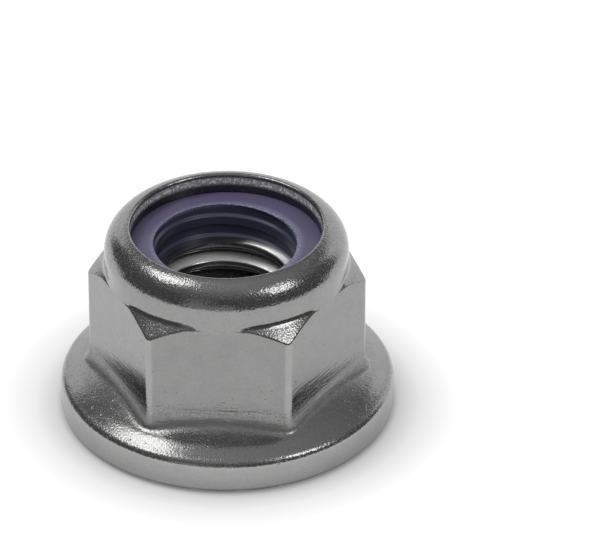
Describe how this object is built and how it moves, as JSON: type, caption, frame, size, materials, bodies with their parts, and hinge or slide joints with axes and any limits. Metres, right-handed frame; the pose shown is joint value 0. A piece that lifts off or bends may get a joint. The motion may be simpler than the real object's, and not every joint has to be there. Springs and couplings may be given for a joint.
{
  "type": "serrated flange lock nut",
  "caption": "Hexagonal flange nut with a swirl-serrated bearing face and a captive nylon locking ring under a rolled-in collar; clamps a threaded joint and resists loosening.",
  "frame": {"origin": "on the thread's axis, in the plane of the bearing face that the nut stands on", "axes": "+Z along the thread from the bearing face to the collar; one flat of the hexagon faces -Y"},
  "size_m": [0.0178, 0.0178, 0.0111],
  "materials": {
    "plated_steel": "bright zinc plate, satin on the turned and forged faces",
    "nylon": "satin violet-blue nylon"
  },
  "bodies": {
    "root": {"nut_body": "plated_steel", "nylon_insert": "nylon"}
  },
  "joints": []
}
